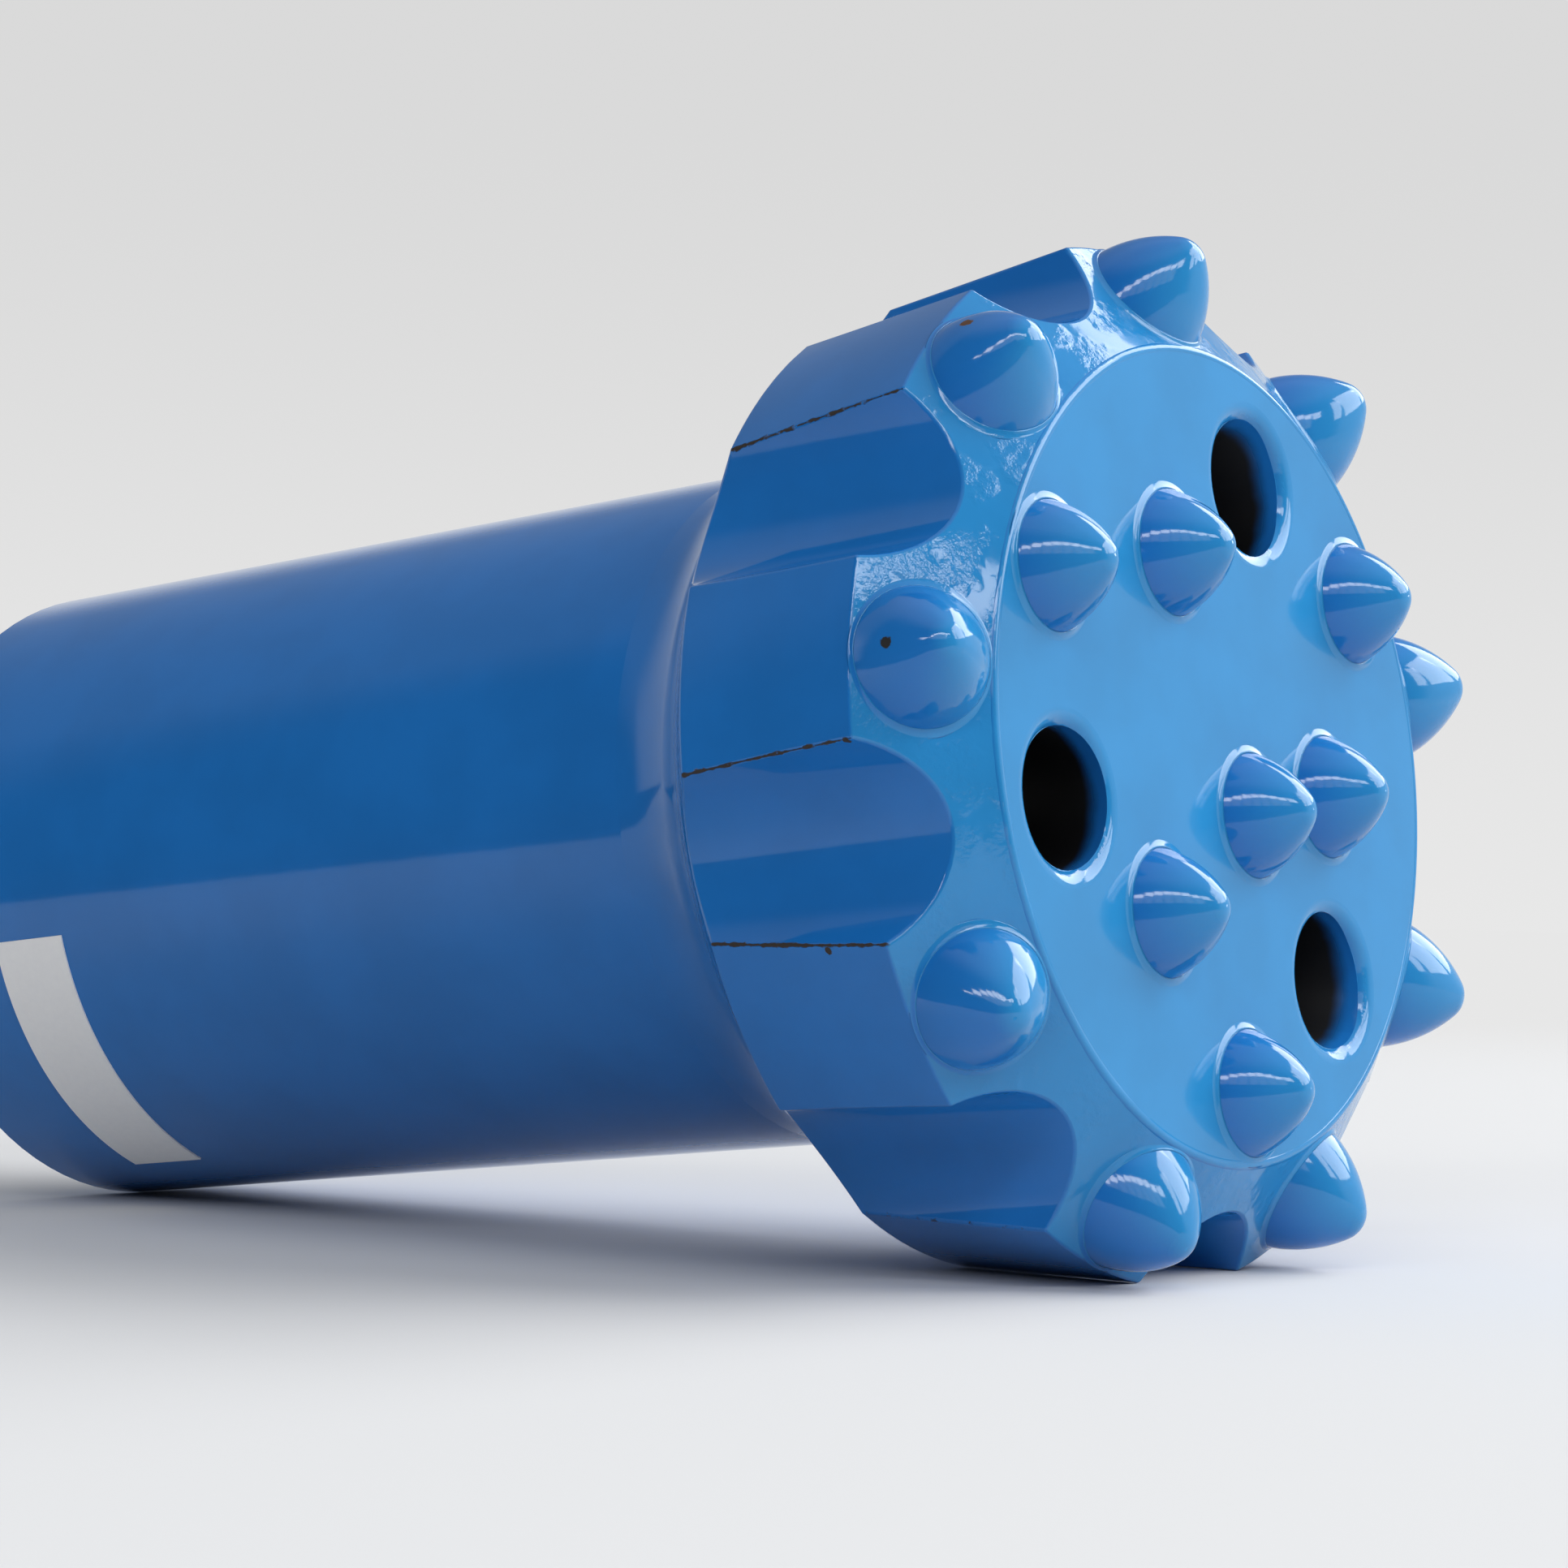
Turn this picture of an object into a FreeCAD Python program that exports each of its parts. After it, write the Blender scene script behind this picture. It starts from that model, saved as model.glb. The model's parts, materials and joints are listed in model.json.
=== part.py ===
import FreeCAD, Part
import math
import os
import Sketcher

# Top-hammer button drill bit, nominal 102 mm (101.5 mm over its gauge buttons), with a left-hand
# rope-threaded socket for a 51 mm drill rod. Every piece is drawn about the bit's own axis: +Z runs
# out of the cutting face, the face is at z = 0, and +X points through the middle of the land that
# ends up on top. The pieces are then laid down together as the bit comes to rest on a floor: on the
# two land corners beside its lowest flute and on the rear edge of its skirt, face towards +X.
# Sizes are in millimetres and degrees.

SIZES = [
    # turned outline of the steel body
    ("overall_length", 147.0),
    ("face_radius", 39.25),
    ("gauge_angle", 36.0),
    ("gauge_radius", 50.3),
    ("land_length", 20.6),
    ("land_rear_radius", 47.8),
    ("flare_angle", 51.0),
    ("neck_fillet", 15.0),
    ("skirt_radius", 34.4),
    ("skirt_chamfer", 1.2),
    # flutes milled between the lands, and the broken edges of the head
    ("land_count", 9),
    ("flute_centre_radius", 53.4),
    ("flute_radius", 9.9),
    ("edge_round", 0.4),
    # threaded socket for the drill rod, closed by the striking face
    ("pilot_radius", 26.2),
    ("pilot_depth", 20.0),
    ("mouth_chamfer", 1.5),
    ("thread_root_radius", 25.8),
    ("thread_crest_radius", 23.6),
    ("thread_pitch", 12.7),
    ("thread_start_depth", 13.0),
    ("thread_end_depth", 88.0),
    ("groove_width", 10.0),
    ("groove_overlap", 0.6),
    ("relief_radius", 26.0),
    ("relief_chamfer", 4.0),
    ("socket_depth", 101.0),
    # flushing channels from the striking face to the cutting face
    ("flushing_count", 3),
    ("flushing_azimuth", 100.0),
    ("flushing_centre_radius", 28.6),
    ("flushing_radius", 6.6),
    ("flushing_tilt", 19.0),
    ("flushing_length", 54.0),
    ("flushing_mouth_width", 1.7),
    ("flushing_mouth_depth", 0.9),
    # carbide buttons: bore radius, height of the dome above the steel, radii of its tip and flank
    ("gauge_button_centre", 44.9),
    ("gauge_button_azimuth", 0.5),
    ("gauge_button_radius", 6.5),
    ("gauge_button_height", 7.15),
    ("gauge_button_tip", 2.9),
    ("gauge_button_flank", 14.0),
    ("gauge_button_shank", 15.0),
    ("face_button_radius", 6.2),
    ("face_button_height", 6.7),
    ("face_button_tip", 2.6),
    ("face_button_flank", 13.0),
    ("face_button_shank", 12.0),
    ("shank_chamfer", 0.8),
    ("ring_count", 3),
    ("outer_ring_radius", 32.4),
    ("outer_ring_azimuth", 60.2),
    ("inner_ring_radius", 20.1),
    ("inner_ring_azimuth", 19.7),
    ("middle_button_radius", 7.6),
    ("middle_button_azimuth", 220.0),
    # paper label stuck round the rear of the skirt
    ("label_thickness", 0.2),
    ("label_width", 9.9),
    ("label_from_rear", 14.3),
    ("label_start", 101.5),
    ("label_end", 155.0),
    # how far cutting outlines reach out of the steel
    ("overrun", 4.0),
]

# Lengths that differ by less than this count as equal.
CLOSE = 1e-3

# Formulas of those sizes that more than one feature needs.
REAR = "(-Sizes.overall_length)"
BEVEL_DEPTH = "((Sizes.gauge_radius - Sizes.face_radius) * tan(Sizes.gauge_angle))"
LAND_REAR = f"(-{BEVEL_DEPTH} - Sizes.land_length)"
FLARE_DEPTH = "((Sizes.land_rear_radius - Sizes.skirt_radius) / tan(Sizes.flare_angle))"
GAUGE_SEAT = "(-(Sizes.gauge_button_centre - Sizes.face_radius) * tan(Sizes.gauge_angle))"
HALF_LAND = "(180 / Sizes.land_count)"


def make_sheet(doc):
    sheet = doc.addObject("Spreadsheet::Sheet", "Sizes")
    for row, (name, value) in enumerate(SIZES, start=1):
        sheet.set(f"A{row}", name)
        sheet.set(f"B{row}", str(value))
        sheet.setAlias(f"B{row}", name)
    doc.recompute()
    return sheet


def origin_feature(body, role):
    return next(item for item in body.Origin.OriginFeatures if item.Role == role)


def new_body(doc, name):
    body = doc.addObject("PartDesign::Body", name)
    body.Label = name
    return body


def new_sketch(body, name, plane):
    sketch = body.newObject("Sketcher::SketchObject", name)
    sketch.AttachmentSupport = [(origin_feature(body, plane), "")]
    sketch.MapMode = "FlatFace"
    return sketch


def place(sketch, across, up):
    """Point of a sketch from two formulas."""
    return FreeCAD.Vector(sketch.evalExpression(across), sketch.evalExpression(up), 0)


def bind(sketch, constraint, formula):
    """Add a dimension whose value follows a formula of the sheet's sizes."""
    index = sketch.addConstraint(constraint)
    sketch.setExpression(f"Constraints[{index}]", formula)


def pin(sketch, edge, end, across=None, up=None):
    """Hold a point of a sketch edge (1 start, 2 end, 3 centre) at distances from the origin."""
    for kind, axis, formula in (("DistanceX", -2, across), ("DistanceY", -1, up)):
        if formula is None:
            continue
        value = sketch.evalExpression(formula)
        if abs(value) < CLOSE:
            sketch.addConstraint(Sketcher.Constraint("PointOnObject", edge, end, axis))
        elif value > 0:
            bind(sketch, Sketcher.Constraint(kind, -1, 1, edge, end, value), formula)
        else:
            bind(sketch, Sketcher.Constraint(kind, edge, end, -1, 1, -value), f"-({formula})")


def join(sketch, edge, follower):
    """The end of one edge meets the start of the next."""
    sketch.addConstraint(Sketcher.Constraint("Coincident", edge, 2, follower, 1))


def polygon(sketch, corners):
    """Closed outline of straight edges through corners given as pairs of formulas."""
    points = [place(sketch, *corner) for corner in corners]
    followers = [(index + 1) % len(points) for index in range(len(points))]
    for point, follower in zip(points, followers):
        sketch.addGeometry(Part.LineSegment(point, points[follower]), False)
    for index, follower in enumerate(followers):
        join(sketch, index, follower)
        pin(sketch, index, 1, *corners[index])


def circle(sketch, across, up, radius):
    centre = place(sketch, across, up)
    value = sketch.evalExpression(radius)
    edge = sketch.addGeometry(Part.Circle(centre, FreeCAD.Vector(0, 0, 1), value), False)
    pin(sketch, edge, 3, across, up)
    bind(sketch, Sketcher.Constraint("Radius", edge, value), radius)


def turn(body, kind, name, sketch, axis="V_Axis"):
    """Full turn of a sketch about one of its axes or straight edges."""
    feature = body.newObject(kind, name)
    feature.Profile = sketch
    feature.ReferenceAxis = (sketch, [axis])
    feature.Angle = 360
    return feature


def round_pattern(body, name, features, count):
    """Repeat features evenly round the bit's axis."""
    pattern = body.newObject("PartDesign::PolarPattern", name)
    pattern.Originals = features
    pattern.Axis = (origin_feature(body, "Z_Axis"), [""])
    pattern.Angle = 360
    pattern.setExpression("Occurrences", count)
    body.Tip = pattern


def add_turned_blank(body):
    """Head, flared neck and skirt, turned as one piece."""
    sketch = new_sketch(body, "BlankOutline", "XZ_Plane")
    polygon(sketch, [
        ("0", "0"),
        ("Sizes.face_radius", "0"),
        ("Sizes.gauge_radius", f"-{BEVEL_DEPTH}"),
        ("Sizes.land_rear_radius", LAND_REAR),
        ("Sizes.skirt_radius", f"{LAND_REAR} - {FLARE_DEPTH}"),
        ("Sizes.skirt_radius", f"{REAR} + Sizes.skirt_chamfer"),
        ("Sizes.skirt_radius - Sizes.skirt_chamfer", REAR),
        ("0", REAR),
    ])
    turn(body, "PartDesign::Revolution", "TurnedBlank", sketch)


def round_edges(doc, body, name, radius, chosen):
    """Fillet every edge of the body so far that passes a test."""
    doc.recompute()
    base = body.Tip
    edges = enumerate(base.Shape.Edges, start=1)
    fillet = body.newObject("PartDesign::Fillet", name)
    fillet.Base = (base, [f"Edge{number}" for number, edge in edges if chosen(edge)])
    fillet.setExpression("Radius", radius)
    body.Tip = fillet


def round_neck(doc, body, sheet):
    """Large round where the flare runs into the skirt."""
    ring_radius = sheet.skirt_radius
    rear_half = -sheet.overall_length / 2

    def is_neck_ring(edge):
        box = edge.BoundBox
        return box.ZLength < CLOSE and box.ZMin > rear_half and abs(box.XMax - ring_radius) < CLOSE

    round_edges(doc, body, "NeckFillet", "Sizes.neck_fillet", is_neck_ring)


def add_flutes(body):
    """Straight round-bottomed flutes between the lands, running out through the flare."""
    sketch = new_sketch(body, "FluteCircle", "XY_Plane")
    across = f"Sizes.flute_centre_radius * cos({HALF_LAND})"
    up = f"Sizes.flute_centre_radius * sin({HALF_LAND})"
    circle(sketch, across, up, "Sizes.flute_radius")
    flute = body.newObject("PartDesign::Pocket", "Flute")
    flute.Profile = sketch
    flute.Type = "ThroughAll"
    round_pattern(body, "Flutes", [flute], "Sizes.land_count")


def break_head_edges(doc, body, sheet):
    """Slight round on the edges of the lands, flutes and bevel, all outside the flat face."""
    inside = sheet.face_radius + sheet.edge_round
    head_rear = -sheet.overall_length / 4

    def is_head_edge(edge):
        ends = [vertex.Point for vertex in edge.Vertexes]
        outside = all(math.hypot(point.x, point.y) > inside for point in ends)
        return len(ends) == 2 and outside and edge.BoundBox.ZMin > head_rear

    round_edges(doc, body, "BrokenEdges", "Sizes.edge_round", is_head_edge)


def add_socket(body):
    """Chamfered pilot bore, thread core and relief, down to the flat striking face."""
    sketch = new_sketch(body, "SocketOutline", "XZ_Plane")
    polygon(sketch, [
        ("0", f"{REAR} - Sizes.overrun"),
        ("Sizes.pilot_radius + Sizes.mouth_chamfer + Sizes.overrun", f"{REAR} - Sizes.overrun"),
        ("Sizes.pilot_radius", f"{REAR} + Sizes.mouth_chamfer"),
        ("Sizes.pilot_radius", f"{REAR} + Sizes.pilot_depth"),
        ("Sizes.thread_crest_radius",
         f"{REAR} + Sizes.pilot_depth + Sizes.pilot_radius - Sizes.thread_crest_radius"),
        ("Sizes.thread_crest_radius", f"{REAR} + Sizes.thread_end_depth"),
        ("Sizes.relief_radius",
         f"{REAR} + Sizes.thread_end_depth + Sizes.relief_radius - Sizes.thread_crest_radius"),
        ("Sizes.relief_radius", f"{REAR} + Sizes.socket_depth - Sizes.relief_chamfer"),
        ("Sizes.relief_radius - Sizes.relief_chamfer", f"{REAR} + Sizes.socket_depth"),
        ("0", f"{REAR} + Sizes.socket_depth"),
    ])
    turn(body, "PartDesign::Groove", "Socket", sketch)


def add_thread(body):
    """Left-hand rope thread: a round groove wound along the socket, from open bore to open bore."""
    sketch = new_sketch(body, "ThreadGroove", "XZ_Plane")
    inner = "Sizes.thread_crest_radius - Sizes.groove_overlap"
    start = f"{REAR} + Sizes.thread_start_depth"
    low = place(sketch, inner, f"{start} - Sizes.groove_width / 2")
    crown = place(sketch, "Sizes.thread_root_radius", start)
    high = place(sketch, inner, f"{start} + Sizes.groove_width / 2")
    arc = sketch.addGeometry(Part.Arc(low, crown, high), False)
    chord = sketch.addGeometry(Part.LineSegment(high, low), False)
    join(sketch, arc, chord)
    join(sketch, chord, arc)
    pin(sketch, chord, 1, inner, f"{start} + Sizes.groove_width / 2")
    pin(sketch, chord, 2, inner, f"{start} - Sizes.groove_width / 2")
    rise = "(Sizes.thread_root_radius - Sizes.thread_crest_radius + Sizes.groove_overlap)"
    groove_radius = f"(Sizes.groove_width * Sizes.groove_width / 4 + {rise} * {rise}) / (2 * {rise})"
    radius = sketch.evalExpression(groove_radius)
    bind(sketch, Sketcher.Constraint("Radius", arc, radius), groove_radius)
    helix = body.newObject("PartDesign::SubtractiveHelix", "Thread")
    helix.Profile = sketch
    helix.ReferenceAxis = (sketch, ["V_Axis"])
    helix.Mode = "pitch-height-angle"
    helix.LeftHanded = True
    helix.setExpression("Pitch", "Sizes.thread_pitch")
    helix.setExpression(
        "Height", "Sizes.thread_end_depth - Sizes.thread_start_depth + Sizes.groove_width / 2")
    body.Tip = helix


def arc_middle(centre, start, end):
    """Point halfway along a short arc, from its centre and its two ends."""
    chord_middle = (start + end) * 0.5
    return centre + (chord_middle - centre).normalize() * start.distanceToPoint(centre)


def add_flushing_channels(body, sheet):
    """Slanting bores from the striking face, each with a shallow rounded mouth in the cutting face."""
    spin = FreeCAD.Rotation(FreeCAD.Vector(0, 1, 0), sheet.flushing_azimuth)
    centre, radius = "Sizes.flushing_centre_radius", "Sizes.flushing_radius"
    sine, cosine = "sin(Sizes.flushing_tilt)", "cos(Sizes.flushing_tilt)"

    def along(distance, offset):
        """Formulas of a point at a distance down the slanting axis and an offset to its side."""
        return (f"{centre} - ({distance}) * {sine} + ({offset}) * {cosine}",
                f"-({distance}) * {cosine} - ({offset}) * {sine}")

    bore_sketch = new_sketch(body, "ChannelOutline", "XZ_Plane")
    bore_sketch.AttachmentOffset = FreeCAD.Placement(FreeCAD.Vector(), spin)
    ends = ("-Sizes.overrun", "Sizes.flushing_length")
    polygon(bore_sketch, [
        along(ends[0], "0"), along(ends[0], radius), along(ends[1], radius), along(ends[1], "0")])
    bore = turn(body, "PartDesign::Groove", "Channel", bore_sketch, "Edge4")

    mouth_sketch = new_sketch(body, "MouthOutline", "XZ_Plane")
    mouth_sketch.AttachmentOffset = FreeCAD.Placement(FreeCAD.Vector(), spin)
    width, depth = "Sizes.flushing_mouth_width", "Sizes.flushing_mouth_depth"
    rounding = f"(({width} * {width} + {depth} * {depth}) / (2 * {depth}))"
    corners = [
        (f"{centre} + {radius}", f"-{depth}"),
        (centre, f"-{depth}"),
        (centre, "Sizes.overrun"),
        (f"{centre} + {radius} + {width}", "Sizes.overrun"),
        (f"{centre} + {radius} + {width}", "0"),
    ]
    points = [place(mouth_sketch, *corner) for corner in corners]
    for first, second in zip(points, points[1:]):
        mouth_sketch.addGeometry(Part.LineSegment(first, second), False)
    drop = mouth_sketch.evalExpression(rounding)
    halfway = arc_middle(points[-1] - FreeCAD.Vector(0, drop, 0), points[-1], points[0])
    arc = mouth_sketch.addGeometry(Part.Arc(points[-1], halfway, points[0]), False)
    for edge in range(arc + 1):
        join(mouth_sketch, edge, (edge + 1) % (arc + 1))
        pin(mouth_sketch, edge, 1, *corners[edge])
    bind(mouth_sketch, Sketcher.Constraint("Radius", arc, drop), rounding)
    mouth = turn(body, "PartDesign::Groove", "Mouth", mouth_sketch, "Edge2")
    round_pattern(body, "FlushingChannels", [bore, mouth], "Sizes.flushing_count")


def face_button_places(sheet):
    """Formulas of radius and azimuth: an outer ring, an inner ring and one near the middle."""
    places = []
    for ring in ("outer_ring", "inner_ring"):
        for step in range(int(sheet.ring_count)):
            azimuth = f"(Sizes.{ring}_azimuth + {step} * 360 / Sizes.ring_count)"
            places.append((f"Sizes.{ring}_radius", azimuth))
    places.append(("Sizes.middle_button_radius", "Sizes.middle_button_azimuth"))
    return places


def add_button_holes(body, sheet):
    """Drilled holes that the buttons' shanks are pressed into."""
    def along(distance, offset):
        """Formulas of a point out along a gauge button's axis and an offset away from the face."""
        return (f"Sizes.gauge_button_centre + ({distance}) * sin(Sizes.gauge_angle)"
                f" + ({offset}) * cos(Sizes.gauge_angle)",
                f"{GAUGE_SEAT} + ({distance}) * cos(Sizes.gauge_angle)"
                f" - ({offset}) * sin(Sizes.gauge_angle)")

    radius, bottom, above = "Sizes.gauge_button_radius", "-Sizes.gauge_button_shank", "Sizes.overrun"
    sketch = new_sketch(body, "GaugeHoleOutline", "XZ_Plane")
    spin = FreeCAD.Rotation(FreeCAD.Vector(0, 1, 0), sheet.gauge_button_azimuth)
    sketch.AttachmentOffset = FreeCAD.Placement(FreeCAD.Vector(), spin)
    polygon(sketch, [
        along(above, "0"), along(above, radius), along(bottom, radius), along(bottom, "0")])
    hole = turn(body, "PartDesign::Groove", "GaugeHole", sketch, "Edge4")
    round_pattern(body, "GaugeHoles", [hole], "Sizes.land_count")

    face = new_sketch(body, "FaceHoleCircles", "XY_Plane")
    for distance, azimuth in face_button_places(sheet):
        circle(face, f"{distance} * cos({azimuth})", f"{distance} * sin({azimuth})",
               "Sizes.face_button_radius")
    holes = body.newObject("PartDesign::Pocket", "FaceHoles")
    holes.Profile = face
    holes.setExpression("Length", "Sizes.face_button_shank")
    body.Tip = holes


def cut(doc, body, step, *details):
    """Take a cut and make sure that it removed metal."""
    before = body.Shape.Volume
    step(body, *details)
    doc.recompute()
    removed = before - body.Shape.Volume
    print(f"{body.Tip.Label}: {removed:.0f} mm3 removed")
    if removed <= 0:
        raise RuntimeError(f"{body.Tip.Label} cuts nothing")


def make_bit_body(doc, sheet):
    """The steel body: one forging, turned, milled, bored and threaded."""
    body = new_body(doc, "bit_body")
    add_turned_blank(body)
    round_neck(doc, body, sheet)
    doc.recompute()
    cut(doc, body, add_flutes)
    break_head_edges(doc, body, sheet)
    doc.recompute()
    cut(doc, body, add_socket)
    cut(doc, body, add_thread)
    cut(doc, body, add_flushing_channels, sheet)
    cut(doc, body, add_button_holes, sheet)
    return body


def dome_tangent(radius, height, tip, flank):
    """Middle of a dome's flank arc, and the point where that arc runs into the tip's arc."""
    tip_up = height - tip
    span = math.hypot(radius, tip_up)
    reach = flank - tip
    corner = math.acos((flank ** 2 + span ** 2 - reach ** 2) / (2 * flank * span))
    heading = math.atan2(tip_up, -radius) + corner
    middle = FreeCAD.Vector(radius + flank * math.cos(heading), flank * math.sin(heading), 0)
    outwards = FreeCAD.Vector(0, tip_up, 0) - middle
    return middle, middle + outwards.normalize() * flank


def make_button(doc, name, kind):
    """A carbide button on its own axis: plain shank below z = 0 and a blunt dome above."""
    body = new_body(doc, name)
    sketch = new_sketch(body, f"{name}_outline", "XZ_Plane")
    radius, shank = f"Sizes.{kind}_radius", f"Sizes.{kind}_shank"
    corners = [
        ("0", f"-{shank}"),
        (f"{radius} - Sizes.shank_chamfer", f"-{shank}"),
        (radius, f"-{shank} + Sizes.shank_chamfer"),
        (radius, "0"),
    ]
    points = [place(sketch, *corner) for corner in corners]
    dome = [f"Sizes.{kind}_{part}" for part in ("radius", "height", "tip", "flank")]
    sizes = [sketch.evalExpression(size) for size in dome]
    seat_edge, top = points[-1], place(sketch, "0", f"Sizes.{kind}_height")
    tip_middle = place(sketch, "0", f"Sizes.{kind}_height - Sizes.{kind}_tip")
    middle, meeting = dome_tangent(*sizes)
    flank_halfway = arc_middle(middle, seat_edge, meeting)
    tip_halfway = arc_middle(tip_middle, meeting, top)
    for first, second in zip(points, points[1:]):
        sketch.addGeometry(Part.LineSegment(first, second), False)
    flank = sketch.addGeometry(Part.Arc(seat_edge, flank_halfway, meeting), False)
    tip = sketch.addGeometry(Part.Arc(meeting, tip_halfway, top), False)
    axis = sketch.addGeometry(Part.LineSegment(top, points[0]), False)
    for edge in range(flank):
        pin(sketch, edge, 1, *corners[edge])
        join(sketch, edge, edge + 1)
    pin(sketch, flank, 1, *corners[-1])
    bind(sketch, Sketcher.Constraint("Radius", flank, sizes[3]), f"Sizes.{kind}_flank")
    bind(sketch, Sketcher.Constraint("Radius", tip, sizes[2]), f"Sizes.{kind}_tip")
    sketch.addConstraint(Sketcher.Constraint("Tangent", flank, 2, tip, 1))
    pin(sketch, tip, 3, across="0")
    pin(sketch, tip, 2, "0", f"Sizes.{kind}_height")
    join(sketch, tip, axis)
    join(sketch, axis, 0)
    turn(body, "PartDesign::Revolution", f"{name}_turned", sketch)
    return body


def make_label(doc):
    """Paper label: a thin strip bent round the skirt."""
    body = new_body(doc, "paper_label")
    sketch = new_sketch(body, "LabelOutline", "XY_Plane")
    radii = ["Sizes.skirt_radius", "Sizes.skirt_radius + Sizes.label_thickness"]
    azimuths = ["Sizes.label_start", "(Sizes.label_start + Sizes.label_end) / 2", "Sizes.label_end"]
    for radius in radii:
        ends = [(f"({radius}) * cos({azimuth})", f"({radius}) * sin({azimuth})")
                for azimuth in azimuths]
        arc = sketch.addGeometry(Part.Arc(*[place(sketch, *end) for end in ends]), False)
        sketch.addConstraint(Sketcher.Constraint("Coincident", arc, 3, -1, 1))
        pin(sketch, arc, 1, *ends[0])
        pin(sketch, arc, 2, across=ends[2][0])
    inner, outer = 0, 1
    for end in (1, 2):
        points = [sketch.getPoint(arc, end) for arc in (inner, outer)]
        side = sketch.addGeometry(Part.LineSegment(*points), False)
        sketch.addConstraint(Sketcher.Constraint("Coincident", side, 1, inner, end))
        sketch.addConstraint(Sketcher.Constraint("Coincident", side, 2, outer, end))
    strip = body.newObject("PartDesign::Pad", "LabelStrip")
    strip.Profile = sketch
    strip.setExpression("Length", "Sizes.label_width")
    return body


def button_placement(azimuth, distance, height, lean):
    """Stand a button at a distance from the bit's axis, leaning outwards."""
    spin = FreeCAD.Rotation(FreeCAD.Vector(0, 0, 1), azimuth)
    tilt = FreeCAD.Rotation(FreeCAD.Vector(0, 1, 0), lean)
    seat = spin.multVec(FreeCAD.Vector(distance, 0, height))
    return FreeCAD.Placement(seat, spin.multiply(tilt))


def make_buttons(doc, sheet):
    """All buttons, each with its place in the bit's own frame."""
    pieces = []
    seat_height = sheet.evalExpression(GAUGE_SEAT)
    for number in range(int(sheet.land_count)):
        button = make_button(doc, f"gauge_button_{number + 1}", "gauge_button")
        azimuth = sheet.gauge_button_azimuth + number * 360 / sheet.land_count
        where = button_placement(azimuth, sheet.gauge_button_centre, seat_height, sheet.gauge_angle)
        pieces.append((button, where))
    for number, (distance, azimuth) in enumerate(face_button_places(sheet), start=1):
        button = make_button(doc, f"face_button_{number}", "face_button")
        values = sheet.evalExpression(azimuth), sheet.evalExpression(distance)
        pieces.append((button, button_placement(*values, 0, 0)))
    return pieces


def lying_rotation(sheet):
    """Turn the upright bit onto its side, resting on two land corners and the rear of its skirt."""
    land, centre, flute = sheet.gauge_radius, sheet.flute_centre_radius, sheet.flute_radius
    cosine = (land ** 2 + centre ** 2 - flute ** 2) / (2 * land * centre)
    corner_depth = sheet.evalExpression(BEVEL_DEPTH)
    heel_depth = sheet.overall_length - sheet.skirt_chamfer
    drop = land * cosine - sheet.skirt_radius
    rise = math.degrees(math.atan2(drop, heel_depth - corner_depth))
    over = FreeCAD.Rotation(FreeCAD.Vector(0, 1, 0), 90 - rise)
    return over.multiply(FreeCAD.Rotation(FreeCAD.Vector(0, 0, 1), 180))


def lay_down(pieces, rotation):
    """Place every piece in the lying bit, with the origin on the floor below the bit's middle."""
    boxes = FreeCAD.BoundBox()
    for body, where in pieces:
        body.Placement = FreeCAD.Placement(FreeCAD.Vector(), rotation).multiply(where)
        boxes.add(body.Shape.optimalBoundingBox(True, False))
    middle = boxes.Center
    shift = FreeCAD.Placement(FreeCAD.Vector(-middle.x, -middle.y, -boxes.ZMin), FreeCAD.Rotation())
    for body, _ in pieces:
        body.Placement = shift.multiply(body.Placement)


def check(doc, bodies):
    doc.recompute()
    failed = [item.Name for item in doc.Objects if {"Invalid", "Error"} & set(item.State)]
    failed += [body.Label for body in bodies if body.Shape.isNull() or not body.Shape.isValid()]
    failed += [body.Label for body in bodies if len(body.Shape.Solids) != 1]
    if failed:
        raise RuntimeError(f"failed: {failed}")


def main():
    doc = FreeCAD.newDocument("ButtonBit")
    sheet = make_sheet(doc)
    upright = FreeCAD.Placement()
    pieces = [(make_bit_body(doc, sheet), upright)]
    pieces += make_buttons(doc, sheet)
    label_up = FreeCAD.Vector(0, 0, sheet.label_from_rear - sheet.overall_length)
    pieces.append((make_label(doc), FreeCAD.Placement(label_up, FreeCAD.Rotation())))
    doc.recompute()
    lay_down(pieces, lying_rotation(sheet))
    bodies = [body for body, _ in pieces]
    check(doc, bodies)
    os.makedirs("parts", exist_ok=True)
    for body in bodies:
        body.Shape.exportStep(f"parts/{body.Label}.step")
        print(f"{body.Label}: {body.Shape.Volume:.0f} mm3")


main()
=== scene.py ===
import json
import math
import bmesh
import bpy
from mathutils import Matrix, Quaternion, Vector


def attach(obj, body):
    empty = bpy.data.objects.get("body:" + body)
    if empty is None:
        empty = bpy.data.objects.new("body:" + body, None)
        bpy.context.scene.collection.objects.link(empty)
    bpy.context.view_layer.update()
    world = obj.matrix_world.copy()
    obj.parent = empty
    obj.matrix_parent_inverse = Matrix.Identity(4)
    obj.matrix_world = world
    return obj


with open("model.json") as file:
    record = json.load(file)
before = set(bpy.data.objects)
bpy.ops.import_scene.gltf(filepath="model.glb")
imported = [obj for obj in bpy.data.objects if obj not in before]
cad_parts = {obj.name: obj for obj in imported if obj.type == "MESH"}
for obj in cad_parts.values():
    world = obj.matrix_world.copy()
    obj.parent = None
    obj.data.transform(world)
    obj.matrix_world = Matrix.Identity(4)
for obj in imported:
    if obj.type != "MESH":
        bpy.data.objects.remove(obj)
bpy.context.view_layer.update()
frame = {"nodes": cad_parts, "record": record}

# A top-hammer button drill bit lying on a pale table, enamelled blue but for its label.
# Everything is in metres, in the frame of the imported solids. Places on the bit itself are given
# as a radius, an azimuth and a distance along its own axis, which starts at the cutting face.

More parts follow.
